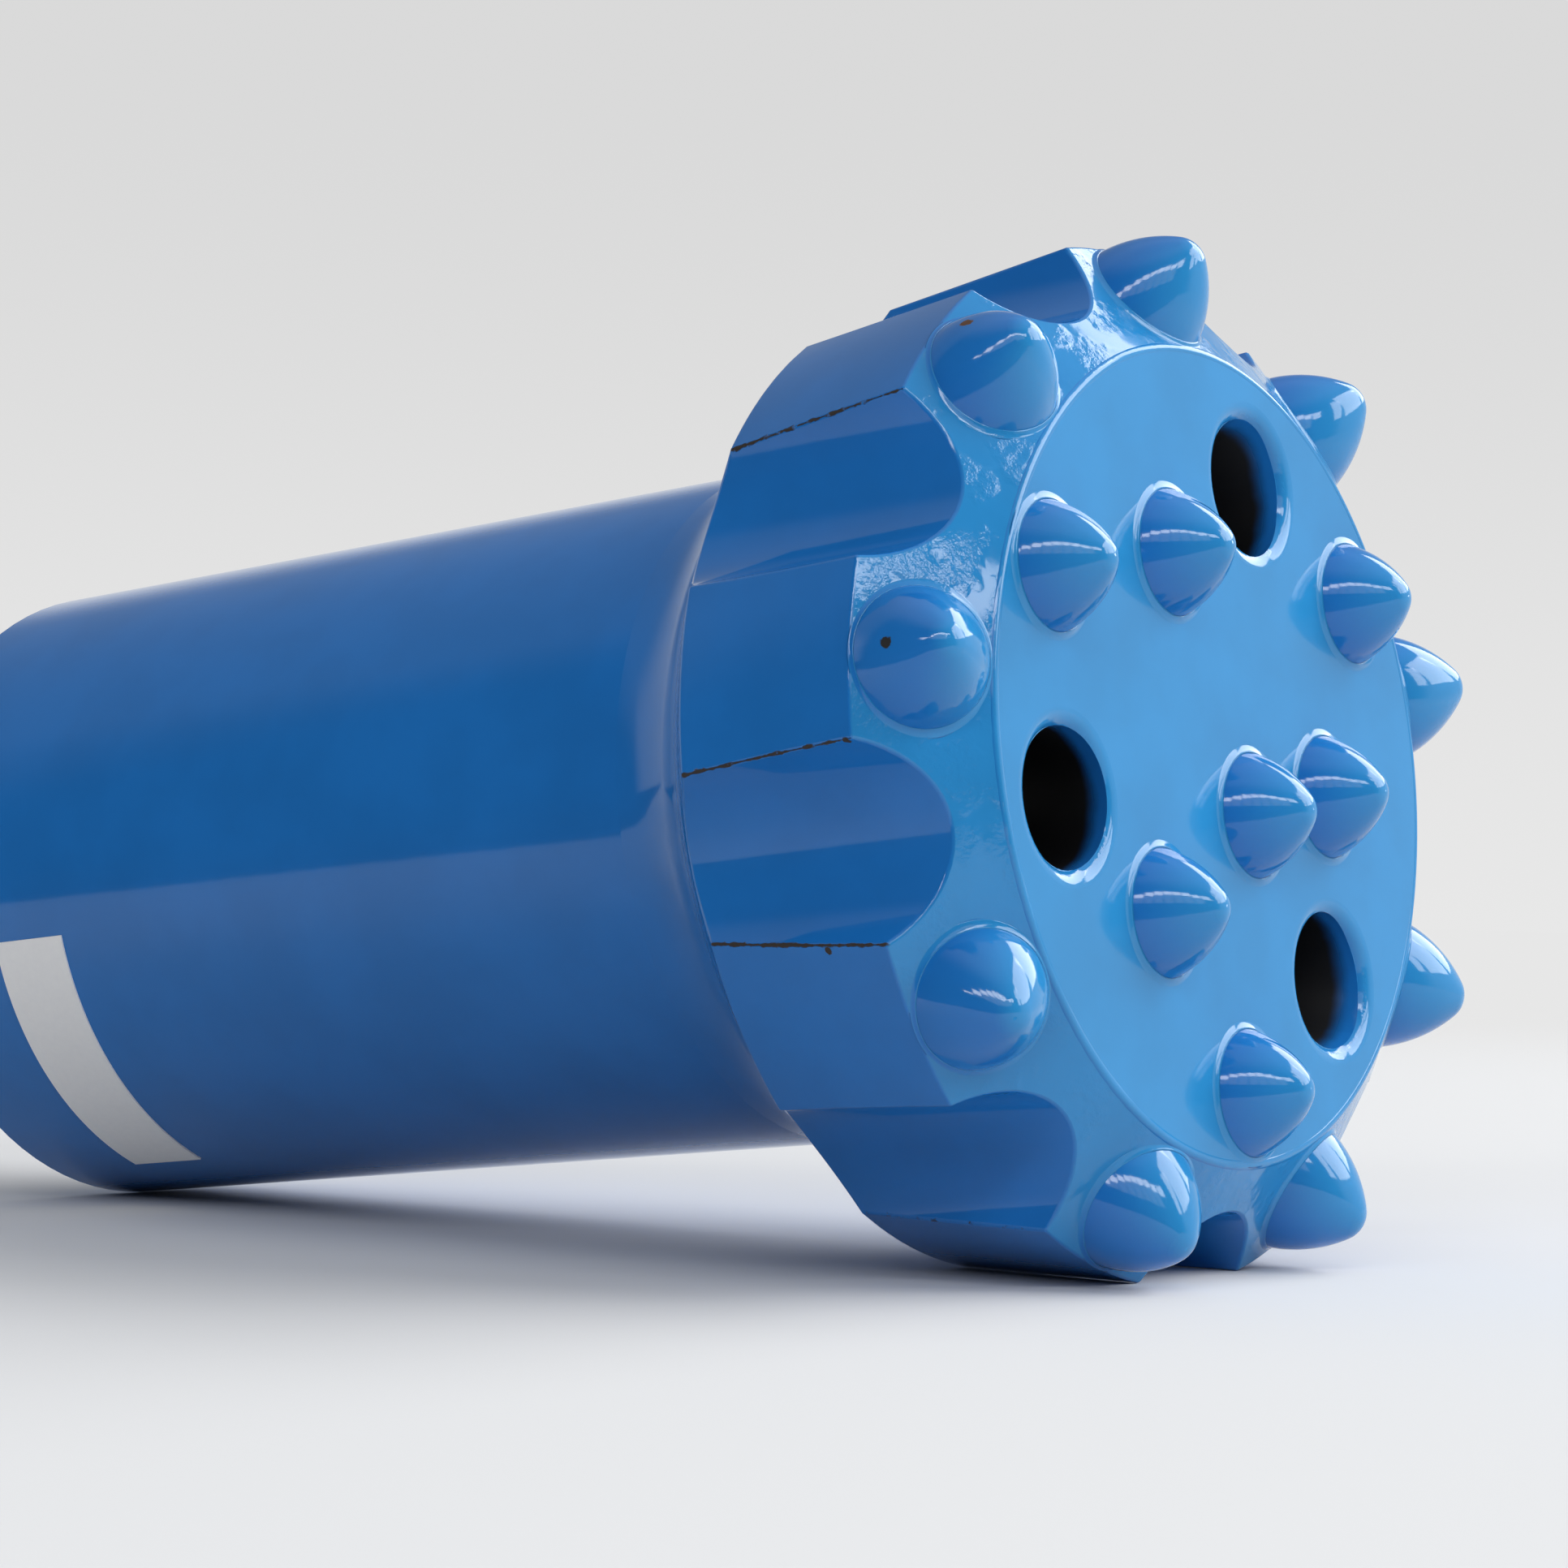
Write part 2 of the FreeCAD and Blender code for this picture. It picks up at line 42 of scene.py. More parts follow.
bit = {
    "length": 0.147,
    "pilotMountDepth": 0.010,      # how far the pilot bore's mount lies inside the rear face
    "faceRadius": 0.03925,
    "gaugeRadius": 0.0503,
    "bevelAngle": math.radians(36),
    "landLength": 0.0206,
    "landRearRadius": 0.0478,
    "landCount": 9,
    "fluteCentreRadius": 0.0534,
    "fluteRadius": 0.0099,
}
bit["bevelDepth"] = (bit["gaugeRadius"] - bit["faceRadius"]) * math.tan(bit["bevelAngle"])


def findMount(name):
    return next(mount for mount in frame["record"]["mounts"] if mount["name"] == name)


outOfSocket = Vector(findMount("rod_pilot")["axis"])
rearCentre = Vector(findMount("rod_pilot")["pos_m"]) + outOfSocket * bit["pilotMountDepth"]
forward = -outOfSocket                                     # out of the cutting face
topward = Vector((0, -1, 0)).cross(forward)                # through the land on top
faceCentre = rearCentre + forward * bit["length"]
bitTurn = Matrix((topward, forward.cross(topward), forward)).transposed()


def onBit(radius, azimuth, along=0.0):
    angle = math.radians(azimuth)
    offset = Vector((radius * math.cos(angle), radius * math.sin(angle), along))
    return faceCentre + bitTurn @ offset


# ---- small helpers for node trees

def addNode(tree, kind, inputs=None, **settings):
    node = tree.nodes.new(kind)
    for name, value in settings.items():
        setattr(node, name, value)
    for key, value in (inputs or {}).items():
        if isinstance(value, bpy.types.NodeSocket):
            tree.links.new(value, node.inputs[key])
        else:
            node.inputs[key].default_value = value
    return node


def calc(tree, operation, *values):
    return addNode(tree, "ShaderNodeMath", dict(enumerate(values)), operation=operation).outputs[0]


def vectorCalc(tree, operation, *values):
    inputs = dict(enumerate(values))
    return addNode(tree, "ShaderNodeVectorMath", inputs, operation=operation).outputs


def gapBetween(tree, first, second):
    return calc(tree, "ABSOLUTE", calc(tree, "SUBTRACT", first, second))


def hypotenuse(tree, across, beside):
    squares = [calc(tree, "MULTIPLY", side, side) for side in (across, beside)]
    return calc(tree, "SQRT", calc(tree, "ADD", *squares))


def ramp(tree, value, low, high, start=0.0, end=1.0):
    # smooth step from start to end while value goes from low to high
    limits = {"Value": value, "From Min": low, "From Max": high, "To Min": start, "To Max": end}
    return addNode(tree, "ShaderNodeMapRange", limits, interpolation_type="SMOOTHSTEP").outputs[0]


def blend(tree, share, first, second):
    node = addNode(tree, "ShaderNodeMix", {0: share, 6: first, 7: second}, data_type="RGBA")
    return node.outputs[2]


def noise(tree, vector, size, detail=2.0, roughness=0.5):
    inputs = {"Vector": vector, "Scale": 1 / size, "Detail": detail, "Roughness": roughness}
    return addNode(tree, "ShaderNodeTexNoise", inputs).outputs["Fac"]


def startGroup(name, inputs, outputs):
    tree = bpy.data.node_groups.new(name, "ShaderNodeTree")
    for label, kind, default in inputs:
        socket = tree.interface.new_socket(label, in_out="INPUT", socket_type="NodeSocket" + kind)
        if default is not None:
            socket.default_value = default
    for label, kind in outputs:
        tree.interface.new_socket(label, in_out="OUTPUT", socket_type="NodeSocket" + kind)
    start = tree.nodes.new("NodeGroupInput")
    end = tree.nodes.new("NodeGroupOutput")
    return tree, start.outputs, end.inputs


def useGroup(tree, group, inputs):
    return addNode(tree, "ShaderNodeGroup", inputs, node_tree=group).outputs


def objectPlace(tree):
    return addNode(tree, "ShaderNodeTexCoord").outputs["Object"]


def addBump(tree, surface, height, distance=1.0):
    bump = addNode(tree, "ShaderNodeBump", {"Strength": 1.0, "Distance": distance, "Height": height})
    tree.links.new(bump.outputs[0], surface["Normal"])


# ---- shader groups shared by the materials

def makeBitPolarGroup():
    # where a point lies on the bit: radius, distance along the axis, azimuth, and azimuth from the
    # middle of its own land, all angles in degrees
    tree, given, result = startGroup(
        "bitPolar", [("Vector", "Vector", None)],
        [("Radius", "Float"), ("Along", "Float"), ("Azimuth", "Float"), ("Folded", "Float")])
    local = addNode(tree, "ShaderNodeMapping", {
        "Vector": given["Vector"], "Location": faceCentre, "Rotation": bitTurn.to_euler()},
        vector_type="TEXTURE")
    parts = addNode(tree, "ShaderNodeSeparateXYZ", {0: local.outputs[0]}).outputs
    radius = hypotenuse(tree, parts[0], parts[1])
    angle = calc(tree, "DEGREES", calc(tree, "ARCTAN2", parts[1], parts[0]))
    halfLand = 180 / bit["landCount"]
    tree.links.new(radius, result["Radius"])
    tree.links.new(parts[2], result["Along"])
    tree.links.new(calc(tree, "WRAP", angle, 360.0, 0.0), result["Azimuth"])
    tree.links.new(calc(tree, "WRAP", angle, halfLand, -halfLand), result["Folded"])
    return tree


spot = {"wobbleSize": 0.0006, "wobble": 3.0, "coreShare": 0.8}


def makeSpotGroup():
    # ragged round spot: 1 inside Size of Centre, 0 outside
    tree, given, result = startGroup(
        "raggedSpot",
        [("Vector", "Vector", None), ("Centre", "Vector", None), ("Size", "Float", 0.001),
         ("Stretch", "Vector", (1, 1, 1)), ("Raggedness", "Float", 0.4)],
        [("Mask", "Float")])
    away = vectorCalc(tree, "SUBTRACT", given["Vector"], given["Centre"])[0]
    away = vectorCalc(tree, "DIVIDE", away, given["Stretch"])[0]
    distance = vectorCalc(tree, "LENGTH", away)["Value"]
    wobble = calc(tree, "SUBTRACT", noise(tree, given["Vector"], spot["wobbleSize"], 3.0, 0.6), 0.5)
    wobble = calc(tree, "MULTIPLY", wobble, given["Raggedness"])
    wobble = calc(tree, "MULTIPLY", wobble, spot["wobble"])
    reach = calc(tree, "MULTIPLY", given["Size"], calc(tree, "ADD", 1.0, wobble))
    inner = calc(tree, "MULTIPLY", reach, spot["coreShare"])
    tree.links.new(ramp(tree, distance, inner, reach, 1.0, 0.0), result["Mask"])
    return tree


peel = {"fineSize": 0.0011, "flowSize": 0.006, "flowShare": 3.0, "patchSize": 0.004,
        "patchFrom": 0.42, "patchTo": 0.62, "drySize": 0.0008}


def makePeelGroup():
    # height of sprayed enamel in metres: long flow waves, orange peel and dry-spray patches
    tree, given, result = startGroup(
        "orangePeel",
        [("Vector", "Vector", None), ("Peel", "Float", 0.000004), ("Patches", "Float", 0.0),
         ("Dryness", "Float", 0.00004)],
        [("Height", "Float")])
    fine = noise(tree, given["Vector"], peel["fineSize"], 1.0, 0.4)
    flow = noise(tree, given["Vector"], peel["flowSize"], 1.0, 0.4)
    flowHeight = calc(tree, "MULTIPLY", given["Peel"], peel["flowShare"])
    waves = calc(tree, "ADD", calc(tree, "MULTIPLY", fine, given["Peel"]),
                 calc(tree, "MULTIPLY", flow, flowHeight))
    where = ramp(tree, noise(tree, given["Vector"], peel["patchSize"]), peel["patchFrom"],
                 peel["patchTo"])
    rough = noise(tree, given["Vector"], peel["drySize"], 3.0, 0.6)
    dry = calc(tree, "MULTIPLY", calc(tree, "MULTIPLY", where, given["Patches"]),
               calc(tree, "MULTIPLY", rough, given["Dryness"]))
    tree.links.new(calc(tree, "ADD", waves, dry), result["Height"])
    return tree


edgeEnds = {
    "coreShare": 0.6,         # share of the width that is fully on the edge
    "rearFade": 0.002,
    "frontBefore": 0.0002,    # from this far behind the corner with the bevel
    "frontAfter": 0.0006,     # to this far before it, the edge fades out
}


def makeEdgeGroup():
    # the long edges where lands and flutes meet: 1 on the edge line, 0 more than Width away
    tree, given, result = startGroup(
        "landEdge",
        [("Radius", "Float", 0.0), ("Along", "Float", 0.0), ("Folded", "Float", 0.0),
         ("Width", "Float", 0.0005)],
        [("Mask", "Float")])
    halfLand = math.radians(180 / bit["landCount"])
    turned = calc(tree, "RADIANS", calc(tree, "ABSOLUTE", given["Folded"]))
    across = calc(tree, "MULTIPLY", given["Radius"], calc(tree, "COSINE", turned))
    beside = calc(tree, "MULTIPLY", given["Radius"], calc(tree, "SINE", turned))
    fluteAcross = calc(tree, "SUBTRACT", across, bit["fluteCentreRadius"] * math.cos(halfLand))
    fluteBeside = calc(tree, "SUBTRACT", beside, bit["fluteCentreRadius"] * math.sin(halfLand))
    fluteGap = gapBetween(tree, hypotenuse(tree, fluteAcross, fluteBeside), bit["fluteRadius"])
    taper = (bit["gaugeRadius"] - bit["landRearRadius"]) / bit["landLength"]
    landRadius = calc(tree, "ADD", bit["gaugeRadius"], calc(
        tree, "MULTIPLY", calc(tree, "ADD", given["Along"], bit["bevelDepth"]), taper))
    gap = calc(tree, "MAXIMUM", fluteGap, gapBetween(tree, landRadius, given["Radius"]))
    core = calc(tree, "MULTIPLY", given["Width"], edgeEnds["coreShare"])
    onEdge = ramp(tree, gap, core, given["Width"], 1.0, 0.0)
    front = -bit["bevelDepth"]
    rear = front - bit["landLength"]
    behind = ramp(tree, given["Along"], rear - edgeEnds["rearFade"], rear)
    ahead = ramp(tree, given["Along"], front - edgeEnds["frontBefore"],
                 front + edgeEnds["frontAfter"], 1.0, 0.0)
    tree.links.new(calc(tree, "MULTIPLY", onEdge, calc(tree, "MULTIPLY", behind, ahead)),
                   result["Mask"])
    return tree


bitPolar = makeBitPolarGroup()
raggedSpot = makeSpotGroup()
orangePeel = makePeelGroup()
landEdge = makeEdgeGroup()

# ---- materials

enamel = {
    # the face and side blues are one enamel drawn lit and shaded: the face blue is painted light, the
    # side blue painted shade
    "paintedLitFaceBlue": (0.024, 0.235, 0.520, 1),
    "paintedShadeSideBlue": (0.012, 0.160, 0.500, 1),
    "chipBrown": (0.030, 0.019, 0.012, 1),
    "darkSteel": (0.050, 0.048, 0.046, 1),
    # painted shade: the steel inside the flushing channels is drawn near black
    "unlitSteel": (0.004, 0.004, 0.005, 1),
    "gloss": 0.08,
    "facingSide": 0.2,        # up to this the painted-shade side blue is whole, and from 1 the painted-light face blue
    "cloudSize": 0.012,
    "cloud": (0.3, 0.7, 0.94, 1.04),             # noise from, to, brightness from, to
    "wornEdges": [(50, 0.72), (90, 0.80), (110.6, 0.90), (150.6, 0.50)],     # azimuth, share worn
    "wornFrom": 3.0,          # degrees from such an azimuth where the wear starts to fade
    "wornTo": 4.0,
    "wearSize": 0.0012,
    "wearFrom": 1.05,
    "wearTo": 1.2,
    "edgeLine": 0.00022,
    "edgeUnevenSize": 0.0015,
    "edgeUneven": (0.35, 0.75, 0.6, 1.8),        # noise from, to, share of the line's width from, to
    "chips": [(0.0499, 89.6, -0.0087, 0.00045), (0.0495, 110.8, -0.0149, 0.00040)],
    "chipDepth": 0.0001,
    "chipDull": 0.6,
    "pitting": 0.00009,
    "bevelFacing": 0.81,      # what facing() gives on the bevel
    "bevelFrom": 0.03,
    "bevelTo": 0.08,
    "boreReach": 0.033,       # nothing outside this radius is inside a bore, but for the mouths
    "mouthReach": 0.036,
    "mouthDepth": 0.012,
    "wanderSize": 0.004,      # the paint ends in a wandering line inside each bore
    "wander": 0.0012,
    "paintEndFront": (-0.0030, -0.0008),
    "paintEndRear": (0.006, 0.016),              # from the rear face
    "unlit": (-0.060, -0.046),
    "boreDull": 0.5,
    "boreMetal": 0.3,
}

marks = {
    "rust": (0.110, 0.045, 0.015, 1),
    "black": (0.012, 0.011, 0.010, 1),
    "rustSpot": (0.0508, 40.6, -0.0042, 0.0008),
    "rustStretch": (1.0, 1.0, 0.5),
    "blackChip": (0.0508, 80.6, -0.0038, 0.0006),
    "dull": 0.6,
    "peel": 0.000002,
}


def startMaterial(name):
    material = bpy.data.materials.new(name)
    material.use_nodes = True
    tree = material.node_tree
    return material, tree, tree.nodes["Principled BSDF"].inputs


def facing(tree):
    # 1 where the surface looks along the bit's axis, 0 where it lies square to it
    normal = addNode(tree, "ShaderNodeNewGeometry").outputs["Normal"]
    return vectorCalc(tree, "DOT_PRODUCT", normal, forward)["Value"]


# painted light: the enamel is drawn lighter where the surface faces along the bit's axis and darker
# where it lies square to it, standing in for the light falling on the face
def enamelWithPaintedLight(tree):
    share = ramp(tree, facing(tree), enamel["facingSide"], 1.0)
    return blend(tree, share, enamel["paintedShadeSideBlue"], enamel["paintedLitFaceBlue"])


def makeBodyEnamel():
    material, tree, surface = startMaterial("blueEnamel")
    place = objectPlace(tree)
    polar = useGroup(tree, bitPolar, {"Vector": place})
    cloud = ramp(tree, noise(tree, place, enamel["cloudSize"], 3.0), *enamel["cloud"])
    # painted light and shade from the facing, times a random cloudiness of the enamel
    tone = addNode(tree, "ShaderNodeMix", {0: 1.0, 6: enamelWithPaintedLight(tree), 7: cloud}, data_type="RGBA",
                   blend_type="MULTIPLY").outputs[2]

    uneven = ramp(tree, noise(tree, place, enamel["edgeUnevenSize"], 3.0, 0.6), *enamel["edgeUneven"])
    edge = useGroup(tree, landEdge, {
        "Radius": polar["Radius"], "Along": polar["Along"], "Folded": polar["Folded"],
        "Width": calc(tree, "MULTIPLY", uneven, enamel["edgeLine"])})["Mask"]
    worn = 0.0
    for azimuth, share in enamel["wornEdges"]:
        near = ramp(tree, gapBetween(tree, polar["Azimuth"], azimuth), enamel["wornFrom"],
                    enamel["wornTo"], share, 0.0)
        worn = calc(tree, "MAXIMUM", worn, near)
    wear = calc(tree, "ADD", noise(tree, place, enamel["wearSize"], 3.0, 0.65), worn)
    bare = calc(tree, "MULTIPLY", edge, ramp(tree, wear, enamel["wearFrom"], enamel["wearTo"]))
    for radius, azimuth, along, size in enamel["chips"]:
        chip = useGroup(tree, raggedSpot, {
            "Vector": place, "Centre": onBit(radius, azimuth, along), "Size": size})["Mask"]
        bare = calc(tree, "MAXIMUM", bare, chip)

    wander = calc(tree, "MULTIPLY", noise(tree, place, enamel["wanderSize"]), enamel["wander"])
    depth = calc(tree, "ADD", polar["Along"], wander)
    nearFace = calc(tree, "GREATER_THAN", polar["Along"], -enamel["mouthDepth"])
    reach = calc(tree, "ADD", enamel["boreReach"],
                 calc(tree, "MULTIPLY", nearFace, enamel["mouthReach"] - enamel["boreReach"]))
    inner = calc(tree, "LESS_THAN", polar["Radius"], reach)
    rearLimits = [end - bit["length"] for end in enamel["paintEndRear"]]
    inside = calc(tree, "MULTIPLY", ramp(tree, depth, *enamel["paintEndFront"], 1.0, 0.0),
                  ramp(tree, depth, *rearLimits))
    inside = calc(tree, "MULTIPLY", inside, inner)
    # painted shade: near black in the flushing channels by the face, dark steel in the socket further
    # back
    steel = blend(tree, ramp(tree, polar["Along"], *enamel["unlit"]), enamel["darkSteel"],
                  enamel["unlitSteel"])

    colour = blend(tree, inside, tone, steel)
    colour = blend(tree, bare, colour, enamel["chipBrown"])
    tree.links.new(colour, surface["Base Color"])
    dull = calc(tree, "MAXIMUM", calc(tree, "MULTIPLY", bare, enamel["chipDull"]),
                calc(tree, "MULTIPLY", inside, enamel["boreDull"]))
    tree.links.new(calc(tree, "ADD", enamel["gloss"], dull), surface["Roughness"])
    tree.links.new(calc(tree, "MULTIPLY", inside, enamel["boreMetal"]), surface["Metallic"])
    bevelZone = ramp(tree, gapBetween(tree, facing(tree), enamel["bevelFacing"]),
                     enamel["bevelFrom"], enamel["bevelTo"], 1.0, 0.0)
    height = useGroup(tree, orangePeel, {
        "Vector": place, "Patches": bevelZone, "Dryness": enamel["pitting"]})["Height"]
    height = calc(tree, "SUBTRACT", height, calc(tree, "MULTIPLY", bare, enamel["chipDepth"]))
    addBump(tree, surface, height)
    return material


def makeButtonEnamel():
    material, tree, surface = startMaterial("enamelledButton")
    place = objectPlace(tree)
    radius, azimuth, along, size = marks["rustSpot"]
    rusty = useGroup(tree, raggedSpot, {
        "Vector": place, "Centre": onBit(radius, azimuth, along), "Size": size,
        "Stretch": marks["rustStretch"]})["Mask"]
    radius, azimuth, along, size = marks["blackChip"]
    chipped = useGroup(tree, raggedSpot, {
        "Vector": place, "Centre": onBit(radius, azimuth, along), "Size": size})["Mask"]
    # the button domes take the same painted light: lighter towards the tip, darker on the sides
    tone = blend(tree, rusty, enamelWithPaintedLight(tree), marks["rust"])
    tree.links.new(blend(tree, chipped, tone, marks["black"]), surface["Base Color"])
    dull = calc(tree, "MULTIPLY", calc(tree, "MAXIMUM", rusty, chipped), marks["dull"])
    tree.links.new(calc(tree, "ADD", enamel["gloss"], dull), surface["Roughness"])
    height = useGroup(tree, orangePeel, {"Vector": place, "Peel": marks["peel"]})["Height"]
    addBump(tree, surface, height)
    return material


paper = {"white": (0.93, 0.93, 0.92, 1), "shade": (0.86, 0.86, 0.87, 1), "roughness": 0.75,
         "fibreSize": 0.0008, "fibreHeight": 0.00002}


def makeLabelPaper():
    material, tree, surface = startMaterial("labelPaper")
    fibres = noise(tree, objectPlace(tree), paper["fibreSize"], 4.0, 0.6)
    tree.links.new(blend(tree, fibres, paper["shade"], paper["white"]), surface["Base Color"])
    surface["Roughness"].default_value = paper["roughness"]
    addBump(tree, surface, fibres, paper["fibreHeight"])
    return material


finishes = {"blue_enamel": makeBodyEnamel(), "enamelled_button": makeButtonEnamel(),
            "label_paper": makeLabelPaper()}
for subpart in frame["record"]["subparts"]:
    slots = frame["nodes"][subpart["node"]].material_slots
    for slot in slots:
        slot.material = finishes[subpart["material_slot"]]
print("materials on the solids")

# ---- enamel built up along the rim of the face and round the foot of each button

rim = {"radius": bit["faceRadius"], "round": 0.0007, "proud": 0.00002, "halfTurn": math.radians(50),
       "steps": 10, "segments": 360}

beads = {
    "gauge": {"radius": 0.0065, "count": 9, "seatRadius": 0.0449, "firstAzimuth": 0.5},
    "face": {"radius": 0.0062, "seats": [(0.0324, 60.2), (0.0324, 180.2), (0.0324, 300.2),
                                         (0.0201, 19.7), (0.0201, 139.7), (0.0201, 259.7),
                                         (0.0076, 220.0)]},
    "width": 0.0009, "height": 0.00035, "sunk": 0.00003, "under": 0.0001,
    "narrowing": 0.6,         # how much narrower a bevel bead is towards the rim and the land
    "bevelCurve": 0.0764,     # radius of the bevel across the slope, at the middle of a seat
    "steps": 5, "segments": 96,
}


def ringAround(mesh, profileAt, segments):
    # closed ring of a closed profile, given at each angle round it
    loops = [[mesh.verts.new(point) for point in profileAt(2 * math.pi * turn / segments)]
             for turn in range(segments)]
    for turn, loop in enumerate(loops):
        ahead = loops[(turn + 1) % segments]
        for place in range(len(loop)):
            beside = (place + 1) % len(loop)
            mesh.faces.new((loop[place], loop[beside], ahead[beside], ahead[place]))


def finishEnamel(name, mesh):
    bmesh.ops.recalc_face_normals(mesh, faces=mesh.faces)
    for face in mesh.faces:
        face.smooth = True
    data = bpy.data.meshes.new(name)
    mesh.to_mesh(data)
    mesh.free()
    data.materials.append(finishes["blue_enamel"])
    piece = bpy.data.objects.new(name, data)
    bpy.context.collection.objects.link(piece)
    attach(piece, "root")


def addRimEnamel():
    lean = bit["bevelAngle"] / 2
    depth = rim["round"] - rim["proud"]
    middleRadius = rim["radius"] - depth * math.sin(lean)
    middleAlong = -depth * math.cos(lean)

    def profileAt(angle):
        points = []
        for step in range(rim["steps"] + 1):
            turn = lean + rim["halfTurn"] * (2 * step / rim["steps"] - 1)
            points.append(onBit(middleRadius + rim["round"] * math.sin(turn), math.degrees(angle),
                                middleAlong + rim["round"] * math.cos(turn)))
        return points

    mesh = bmesh.new()
    ringAround(mesh, profileAt, rim["segments"])
    finishEnamel("rimEnamel", mesh)


def addBead(mesh, centre, downSlope, sideways, radius, onBevel):
    outward = downSlope.cross(sideways)

    def profileAt(angle):
        width = beads["width"]
        if onBevel:
            width *= 1 - beads["narrowing"] * math.cos(angle) ** 2
        points = []
        for step in range(beads["steps"] + 1):
            share = step / beads["steps"]
            away = -beads["under"] + (width + beads["under"]) * share
            points.append((away, beads["height"] * (1 - share) ** 2 - beads["sunk"] * share))
        points.append((-beads["under"], -beads["under"]))
        ring = []
        for away, height in points:
            across = (radius + away) * math.sin(angle)
            drop = across ** 2 / (2 * beads["bevelCurve"]) if onBevel else 0.0
            ring.append(centre + downSlope * (radius + away) * math.cos(angle)
                        + sideways * across + outward * (height - drop))
        return ring

    ringAround(mesh, profileAt, beads["segments"])


def addButtonBeads():
    mesh = bmesh.new()
    gauge, face = beads["gauge"], beads["face"]
    slope = bit["bevelAngle"]
    along = -(gauge["seatRadius"] - bit["faceRadius"]) * math.tan(slope)
    for number in range(gauge["count"]):
        azimuth = gauge["firstAzimuth"] + number * 360 / gauge["count"]
        turn = math.radians(azimuth)
        downSlope = bitTurn @ Vector((math.cos(slope) * math.cos(turn),
                                      math.cos(slope) * math.sin(turn), -math.sin(slope)))
        sideways = bitTurn @ Vector((-math.sin(turn), math.cos(turn), 0))
        addBead(mesh, onBit(gauge["seatRadius"], azimuth, along), downSlope, sideways,
                gauge["radius"], True)
    for seatRadius, azimuth in face["seats"]:
        turn = math.radians(azimuth)
        outFromAxis = bitTurn @ Vector((math.cos(turn), math.sin(turn), 0))
        sideways = bitTurn @ Vector((-math.sin(turn), math.cos(turn), 0))
        addBead(mesh, onBit(seatRadius, azimuth), outFromAxis, sideways, face["radius"], False)
    finishEnamel("buttonBeads", mesh)


addRimEnamel()
addButtonBeads()
print("enamel on the rim and round the buttons")

# ---- table, window light and camera

table = {
    "pale": (0.70, 0.70, 0.70, 1),
    "far": (0.80, 0.80, 0.80, 1),
    "size": 4.0,
    "roughness": 0.9,
    "fadeFrom": 0.35,         # distances over which the table turns to its far colour
    "fadeTo": 0.9,
    "frontReach": 0.235,      # where the table ends towards the dark room in front
    "frontSoft": 0.02,
    "roomDark": (0.06, 0.065, 0.075, 1),
}


def addTable():
    half = table["size"]
    mesh = bpy.data.meshes.new("table")
    mesh.from_pydata([(-half, -half, 0), (half, -half, 0), (half, half, 0), (-half, half, 0)], [],
                     [(0, 1, 2, 3)])
    floor = bpy.data.objects.new("table", mesh)
    bpy.context.collection.objects.link(floor)
    material, tree, surface = startMaterial("tablePale")
    surface["Base Color"].default_value = table["pale"]
    surface["Roughness"].default_value = table["roughness"]
    surface["Specular IOR Level"].default_value = 0.0
    place = objectPlace(tree)
    far = vectorCalc(tree, "LENGTH", place)["Value"]
    glow = addNode(tree, "ShaderNodeEmission", {"Color": table["far"]}).outputs[0]
    fade = ramp(tree, far, table["fadeFrom"], table["fadeTo"])
    paths = addNode(tree, "ShaderNodeLightPath").outputs
    seen = calc(tree, "MAXIMUM", paths["Is Camera Ray"], paths["Is Glossy Ray"])
    fade = calc(tree, "MULTIPLY", fade, seen)
    body = addNode(tree, "ShaderNodeMixShader", {
        0: fade, 1: tree.nodes["Principled BSDF"].outputs[0], 2: glow})
    # in the enamel, the table ends towards the dark room in front
    parts = addNode(tree, "ShaderNodeSeparateXYZ", {0: place}).outputs
    edge = -table["frontReach"]
    pastEdge = ramp(tree, parts[1], edge, edge + table["frontSoft"], 1.0, 0.0)
    front = calc(tree, "MULTIPLY", pastEdge, paths["Is Glossy Ray"])
    room = addNode(tree, "ShaderNodeEmission", {"Color": table["roomDark"]}).outputs[0]
    whole = addNode(tree, "ShaderNodeMixShader", {0: front, 1: body.outputs[0], 2: room})
    tree.links.new(whole.outputs[0], tree.nodes["Material Output"].inputs["Surface"])
    mesh.materials.append(material)


room = {
    "backdrop": (0.72, 0.73, 0.74, 1),
    "wall": (0.28, 0.30, 0.33, 1),
    "ceiling": (0.60, 0.62, 0.65, 1),
    "dark": (0.055, 0.06, 0.07, 1),
    "seenLow": (0.81, 0.81, 0.81, 1),      # behind the table, as the camera sees it
    "seenHigh": (0.70, 0.70, 0.70, 1),
    "darkFrom": -150.0,      # azimuths between which the room in front is dark
    "darkFromSoft": 8,
    "darkTo": 15.0,
    "darkToSoft": 10,
    "wallRise": (14.0, 30.0),                # elevations over which one colour turns to the next
    "ceilingRise": (42.0, 70.0),
    "seenRise": (-2.0, 11.0),
}


